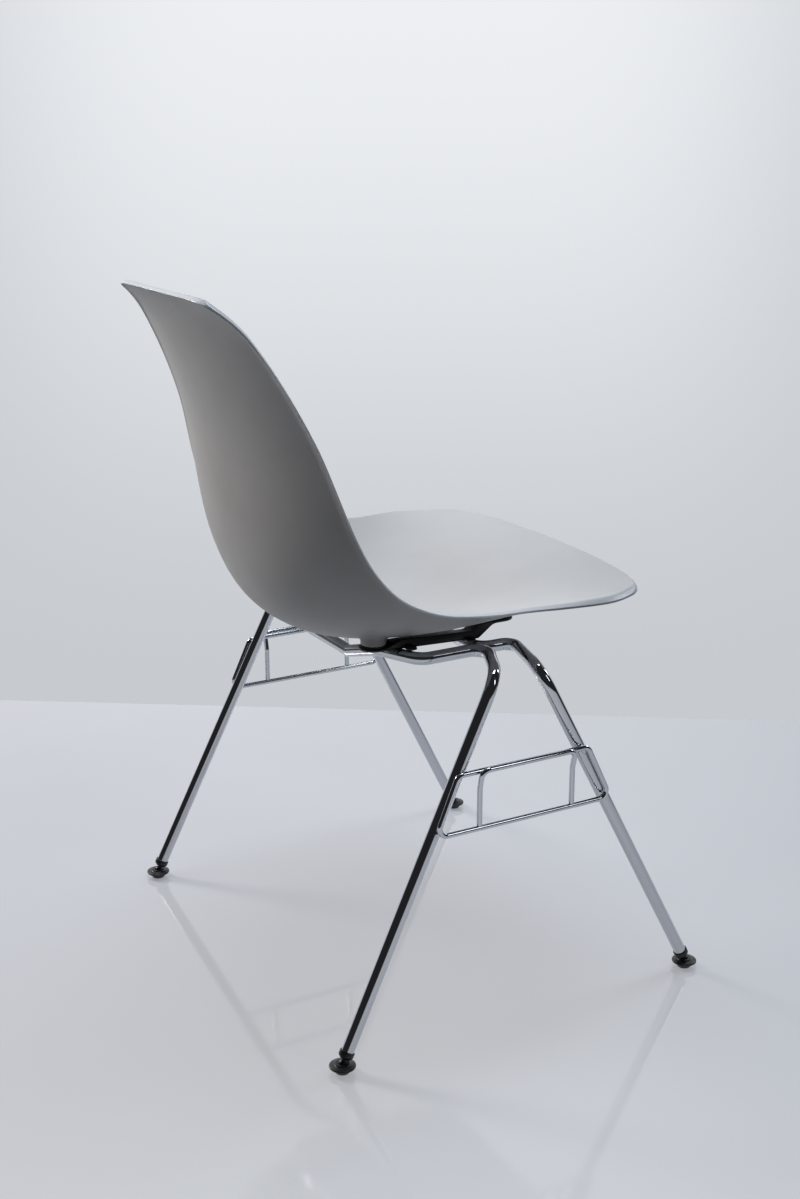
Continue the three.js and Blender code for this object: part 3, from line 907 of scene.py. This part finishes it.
def makeSleeve(name, ball, along):
    g = glide
    floor = tube["collarFloor"] - seat["gap"]
    collarEnd = floor + g["collarLength"]
    bore = tube["radius"] + seat["gap"]
    core = tube["radius"] - tube["wall"] - seat["gap"]
    neckAngle = math.acos(g["neck"] / g["ball"])
    profile = arcProfile(g["ball"], g["poleGap"] - math.pi / 2, neckAngle, 14)
    profile += roundedProfile([
        (g["neck"], g["skirt"][1], 0.0006),
        (g["skirt"][0], g["skirt"][1], 0.0004),
        (g["collar"] - g["taper"], g["collarStart"], 0.0006),
        (g["collar"], floor, 0.0012),
        (g["collar"], collarEnd - seat["gap"], 0.0007),
        (bore + seat["gap"], collarEnd, 0),
        (bore, collarEnd - seat["gap"], 0),
        (bore, floor, 0),
        (core, floor, 0),
        (core, floor + g["plug"], 0.0008),
        (g["axisGap"], floor + g["plug"], 0),
    ])
    sleeve = Solid()
    lathe(sleeve, profile, g["sides"], ball, along)
    return makePiece(name, sleeve, "nylon")


def makeDisc(name, ball, body):
    g = glide
    socket = g["ball"] + g["ballGap"]
    mouth = math.asin((g["hubTop"] - ball[2]) / socket)
    profile = roundedProfile([
        (g["axisGap"], 0, 0),
        (g["tread"] + g["eased"], 0, 0.0006),
        (g["cone"], g["brimBottom"], 0.0012),
        (g["brim"], g["brimBottom"], 0.0007),
        (g["brim"], g["brimTop"], 0.0007),
        (g["hub"], (g["brimTop"] + g["hubTop"]) / 2, 0.003),
        (g["hub"] - g["eased"], g["hubTop"], 0.0005),
    ])
    profile += arcProfile(socket, mouth, g["poleGap"] - math.pi / 2, 12, ball[2])
    disc = Solid()
    lathe(disc, profile, g["sides"], np.array([ball[0], ball[1], 0]))
    return makePiece(name, disc, "nylon", body)


def makeGlides():
    for end, leg in (("front", frontLeg), ("rear", rearLeg)):
        for side, sign in (("right", -1), ("left", 1)):
            foot, knee = legAxis(leg, sign)
            ball = onLeg((foot, knee), tube["ballHeight"])
            sleeve = makeSleeve(f"sleeve_{end}_{side}", ball, knee - foot)
            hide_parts(f"glide_sleeve_{end}_{side}")
            disc = makeDisc(f"disc_{end}_{side}", ball, f"foot_{end}_{side}")
            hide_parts(f"glide_foot_{end}_{side}")


makeGlides()
print("glides turned")


# Rubber pads, screws and inserts

pad = {"radius": 0.014, "hole": 0.0034, "edge": 0.0006, "sides": 56}
screw = {
    "head": 0.006,
    "headHeight": 0.0034,
    "headStart": 15,  # degrees from the axis at which the rounding of the head begins
    "headPowers": (0.7, 0.8),  # across and along
    "headSteps": 8,
    "shank": 0.0029,
    "socket": 0.0023,  # from the axis to a corner of the hexagon
    "socketDepth": 0.002,
    "socketEdge": (0.0003, 0.0002),  # width and depth of its chamfer
    "sides": 48,
}


def makeScrew(name, node):
    low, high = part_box(node)
    centre = middleOf(node)
    centre[2] = 0
    seatZ = low.z + screw["headHeight"]
    turn = np.arange(screw["sides"]) / screw["sides"] * 2 * np.pi
    around = np.stack([np.cos(turn), np.sin(turn), 0 * turn], -1)
    sixth = math.pi / 6
    hexagon = math.cos(sixth) / np.cos((turn + sixth) % (sixth * 2) - sixth) * screw["socket"]

    def ring(radius, height):
        return centre + around * np.reshape(radius, (-1, 1)) + up * height

    edgeWidth, edgeDepth = screw["socketEdge"]
    rings = [ring(hexagon, low.z + screw["socketDepth"]), ring(hexagon, low.z + edgeDepth)]
    rings.append(ring(hexagon + edgeWidth, low.z))
    across, along = screw["headPowers"]
    for angle in np.radians(np.linspace(screw["headStart"], 90, screw["headSteps"] + 1)):
        height = seatZ - screw["headHeight"] * max(math.cos(angle), 0) ** along
        rings.append(ring(screw["head"] * math.sin(angle) ** across, height))
    rings.append(ring(screw["shank"], seatZ))
    rings.append(ring(screw["shank"], high.z))
    solid = Solid()
    solid.rings(rings)
    piece = makePiece(name, solid, "zinc", crease=30.0)
    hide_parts(node)


def makeFixings():
    for end in ("front", "rear"):
        for side in ("right", "left"):
            node = f"rubber_pad_{end}_{side}"
            low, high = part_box(node)
            centre = middleOf(node)
            centre[2] = 0
            profile = roundedProfile([
                (pad["hole"], low.z, 0), (pad["radius"], low.z, pad["edge"]),
                (pad["radius"], high.z, pad["edge"]), (pad["hole"], high.z, 0),
            ])
            ring = Solid()
            lathe(ring, profile, pad["sides"], centre, loop=True)
            piece = makePiece(f"pad_{end}_{side}", ring, "rubber")
            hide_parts(node)
            makeScrew(f"screw_{end}_{side}", f"mount_screw_{end}_{side}")
            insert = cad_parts[f"threaded_insert_{end}_{side}"].data
            insert.materials.clear()
            insert.materials.append(finishes["brass"])


makeFixings()
print("fixings in place")


# Brackets

bracket = {
    "plate": 0.0025,
    "padRadius": 0.016,
    "flangeHeight": 0.0095,
    "rampLength": 0.019,
    "tabWidth": 0.011,
    "rearTab": (0.0795, 0.1535),  # middle of the tab and its reach
    "frontTab": (0.0025, 0.1485),
    "edge": 0.0007,
    "edgeSteps": 3,
    "tabCorner": 0.003,
    "flangeCorners": (0.0008, 0.004, 0.004, 0.0008, 0.0008, 0.006, 0.006, 0.004, 0.0008),
    "endSteps": 14,
    "barSteps": 70,
    "softened": 0.0035,  # half the length over which the bends of the bar are evened out
    "leastHalf": 1.2,  # half the width at the very tips, in edges
}


def plateSolid(solid, outline, start, end, place):  # outline in two axes, thickness on the third
    edge, steps = bracket["edge"], bracket["edgeSteps"]
    outline = np.asarray(outline)
    ahead = np.roll(outline, -1, axis=0) - np.roll(outline, 1, axis=0)
    inward = np.stack([-ahead[:, 1], ahead[:, 0]], -1)
    inward /= np.linalg.norm(inward, axis=1, keepdims=True)
    (a, b), (nextA, nextB) = outline.T, np.roll(outline, -1, axis=0).T
    inward *= np.sign(np.sum(a * nextB - b * nextA)) * edge
    angles = np.linspace(0, math.pi / 2, steps + 1)
    sides = [(angle, start, 1) for angle in angles] + [(angle, end, -1) for angle in angles[::-1]]
    rings = []
    for angle, face, way in sides:
        depth = face + way * edge * (1 - math.cos(angle))
        ring = outline + inward * (1 - math.sin(angle))
        rings.append([place(across, along, depth) for across, along in ring])
    solid.rings(rings)


def makeBracket(side, sign):
    b = bracket
    gap, plate, radius = seat["gap"], b["plate"], b["padRadius"]
    mountX = seat["mountSpread"] / 2
    rearY, frontY = seat["rearMountY"], seat["frontMountY"]
    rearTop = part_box(f"rubber_pad_rear_{side}")[0].z - gap
    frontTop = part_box(f"rubber_pad_front_{side}")[0].z - gap
    rampEnd = frontY + radius
    barStart, barEnd = rampEnd + b["rampLength"], rearY - radius
    barBottom = frontLeg["railZ"] + tube["radius"] + gap
    solid = Solid()

    stations = [(frontY - radius, frontTop), (rampEnd, frontTop), (barStart, barBottom + plate)]
    stations += [(barEnd, rearTop), (rearY + radius, rearTop)]
    ys, zs = np.array(stations).T
    turns = np.linspace(0, np.pi / 2, b["endSteps"])
    frontEnd, rearEnd = frontY - radius * np.cos(turns), rearY + radius * np.sin(turns)
    barYs = np.linspace(frontY, rearY, b["barSteps"])[1:-1]
    edge, halfPlate = b["edge"], plate / 2
    shifts = np.linspace(-b["softened"], b["softened"], 9)
    rings = []
    for y in np.concatenate([frontEnd, barYs, rearEnd]):
        past = max(frontY - y, y - rearY, 0)
        half = max(math.sqrt(max(radius ** 2 - past ** 2, 0)), edge * b["leastHalf"])
        middleZ = np.interp(y + shifts, ys, zs).mean() - halfPlate
        ring = []
        for cornerX, cornerZ in ((1, -1), (1, 1), (-1, 1), (-1, -1)):
            turnStart = math.atan2(cornerZ, cornerX) - math.pi / 4
            for angle in turnStart + np.linspace(0, np.pi / 2, b["edgeSteps"] + 1):
                x = cornerX * (half - edge) + edge * math.cos(angle)
                z = cornerZ * (halfPlate - edge) + edge * math.sin(angle)
                ring.append(spot(sign, mountX + x, y, middleZ + z))
        rings.append(ring)
    solid.rings(rings)

    height = b["flangeHeight"]
    flangeEnd = rearY - radius / 2
    outline = roundedOutline([
        (rampEnd, frontTop - plate), (barStart, barBottom),
        (barEnd, rearTop - plate), (flangeEnd, rearTop - plate),
        (flangeEnd, rearTop), (barEnd - height, rearTop - plate + height),
        (barStart + height / 2, barBottom + height), (barStart, frontTop), (rampEnd, frontTop),
    ], b["flangeCorners"], 5)
    inX = mountX + radius - plate

    def onFlange(y, z, x):
        return spot(sign, x, y, z)

    def onTab(x, y, z):
        return spot(sign, x, y, z)

    plateSolid(solid, outline, inX, inX + plate, onFlange)
    half = b["tabWidth"] / 2
    for (y, outX), low in ((b["rearTab"], rearTop - plate), (b["frontTab"], barBottom)):
        corners = [(inX, y - half), (outX, y - half), (outX, y + half), (inX, y + half)]
        outline = roundedOutline(corners, (0, b["tabCorner"], b["tabCorner"], 0), 4)
        plateSolid(solid, outline, low, low + plate, onTab)
    piece = makePiece(f"bracket_{side}", solid, "black_steel", crease=40.0)
    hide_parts(f"side_bracket_{side}")


makeBracket("right", -1)
makeBracket("left", 1)
print("brackets pressed")


# Floor, backdrop and light

floor = {
    "farLine": ((0, 700), (800, 721)),  # pixels of the photograph
    "reach": 3.0,
    "colour": tone(0.34, 0.345, 0.36),
    "cloudy": tone(0.37, 0.375, 0.39),
    "glowFar": tone(0.265, 0.275, 0.30),  # paleness that only the camera and mirrors see
    "glowNear": tone(0.44, 0.45, 0.47),
    "glowReach": (0.3, 2.1),  # metres from the far line
    "shaded": 0.78,  # share of the floor's colour that still takes light and shadow there
    "roughness": 0.06,
    "cloud": ((1.6, 3.0), (0.3, 0.7)),
    "smear": ((9.0, 5.0, 0.65), (0.4, 0.75)),
    "smearDulls": 0.05,
}


def makeFloor():
    left, right = (onFloor(*pixel) for pixel in floor["farLine"])
    along = unit(right - left)
    nearer = np.cross(along, up)
    if nearer @ (np.array(camera["place"]) - left) < 0:
        nearer = -nearer
    reach = floor["reach"]
    corners = [left - along * reach, right + along * reach]
    corners += [corners[1] + nearer * reach * 2, corners[0] + nearer * reach * 2]
    mesh = bpy.data.meshes.new("floor")
    mesh.from_pydata([tuple((c[0], c[1], 0.0)) for c in corners], [], [(0, 1, 2, 3)])
    plane = bpy.data.objects.new("floor", mesh)
    bpy.context.scene.collection.objects.link(plane)
    finish = finishNamed("floor_gloss")
    away = finish.dot(finish.place(), nearer) - float(left @ nearer)
    glowShare = finish.between(away, *floor["glowReach"])
    glow = finish.blend(glowShare, floor["glowFar"], floor["glowNear"])
    smear = finish.patches(floor["smear"])
    seen = finish.node("ShaderNodeLightPath", outlet="Is Camera Ray")
    for ray in ("Is Glossy Ray", "Is Transmission Ray"):
        seen = seen.maths("MAXIMUM", seen, finish.node("ShaderNodeLightPath", outlet=ray))
    base = finish.blend(finish.patches(floor["cloud"]), floor["colour"], floor["cloudy"])
    shaded = finish.blend(floor["shaded"], tone(0, 0, 0), base)
    finish.surface({
        "Base Color": finish.blend(seen, base, shaded),
        "Roughness": floor["roughness"] + smear * floor["smearDulls"],
        "Specular IOR Level": 0.5,
        "Emission Color": finish.blend(seen, tone(0, 0, 0), glow),
        "Emission Strength": 1.0,
    })
    mesh.materials.append(finish.owner)


studio = {
    "wallLow": tone(0.57, 0.595, 0.625),
    "wallHigh": tone(0.85, 0.87, 0.9),
    "wallYaw": 119.0,  # degrees clockwise from +Y to the pale wall
    "wallRise": (-0.36, 0.08),  # heights of the direction between which it grows pale
    "wallMiddle": (0.962, 0.998),  # cosines between which the wall brightens to its middle
    "wallSide": 0.3,  # share of that brightness beside the middle
    "wallEdges": (0.42, 0.72),  # cosine of the angle at which the wall ends
    "wallTop": (0.55, 0.85),  # height of the direction at which the ceiling begins
    "room": tone(0.022, 0.022, 0.024),
}


def makeWorld():
    world = bpy.data.worlds.new("studio")
    bpy.context.scene.world = world
    finish = Finish(world)
    way = finish.node("ShaderNodeTexCoord", outlet="Generated")
    height = finish.node("ShaderNodeSeparateXYZ", None, {"Vector": way}, "Z")
    yaw = math.radians(studio["wallYaw"])
    toWall = (math.sin(yaw), math.cos(yaw), 0.0)
    facing = finish.dot(way, toWall) / (1 - height * height) ** 0.5
    middle = finish.between(facing, *studio["wallMiddle"], studio["wallSide"], 1.0)
    bright = finish.between(height, *studio["wallRise"]) * middle
    wall = finish.blend(bright, studio["wallLow"], studio["wallHigh"])
    below = finish.between(height, *studio["wallTop"], 1.0, 0.0)
    share = finish.between(facing, *studio["wallEdges"]) * below
    around = finish.blend(share, studio["room"], wall)
    rays = finish.node("ShaderNodeLightPath", outlet="Is Camera Ray")
    colour = finish.blend(rays, around, wall)
    light = finish.node("ShaderNodeBackground", None, {"Color": colour, "Strength": 1.0})
    finish.node("ShaderNodeOutputWorld", None, {"Surface": light})


lamps = {
    "overhead": {
        "place": (0.35, -0.25, 2.5), "aim": (0, 0, 0.2), "size": (1.3, 0.8),
        "watts": 30, "colour": (0.80, 0.895, 1.0),
    },
    "left_far": {
        "place": (2.3, 1.2, 1.8), "aim": (0, 0.1, 0.5), "size": (0.6, 1.1),
        "watts": 58, "colour": (1.0, 0.935, 0.87),
    },
    "right_far": {
        "place": (0.2, -2.7, 1.9), "aim": (0, 0, 0.5), "size": (1.0, 0.8),
        "watts": 14, "colour": (0.85, 0.92, 1.0),
    },
    "right_near": {  # gives the wires of the near side their bright band
        "place": (-2.1, -1.45, 2.2), "aim": (-0.2, 0, 0.3), "size": (0.35, 1.0),
        "watts": 4, "colour": (0.9, 0.95, 1.0),
    },
}


def makeLamp(name, look):
    data = bpy.data.lights.new(name, "AREA")
    data.shape = "RECTANGLE"
    data.size, data.size_y = look["size"]
    data.energy = look["watts"]
    data.color = look["colour"]
    lamp = bpy.data.objects.new(name, data)
    lamp.location = look["place"]
    lamp.rotation_mode = "QUATERNION"
    way = Vector(look["aim"]) - Vector(look["place"])
    lamp.rotation_quaternion = way.to_track_quat("-Z", "Y")
    bpy.context.scene.collection.objects.link(lamp)


makeFloor()
makeWorld()
for name, look in lamps.items():
    makeLamp(name, look)
print("floor, backdrop and light set")

scene = bpy.context.scene
scene.view_settings.view_transform = "Standard"
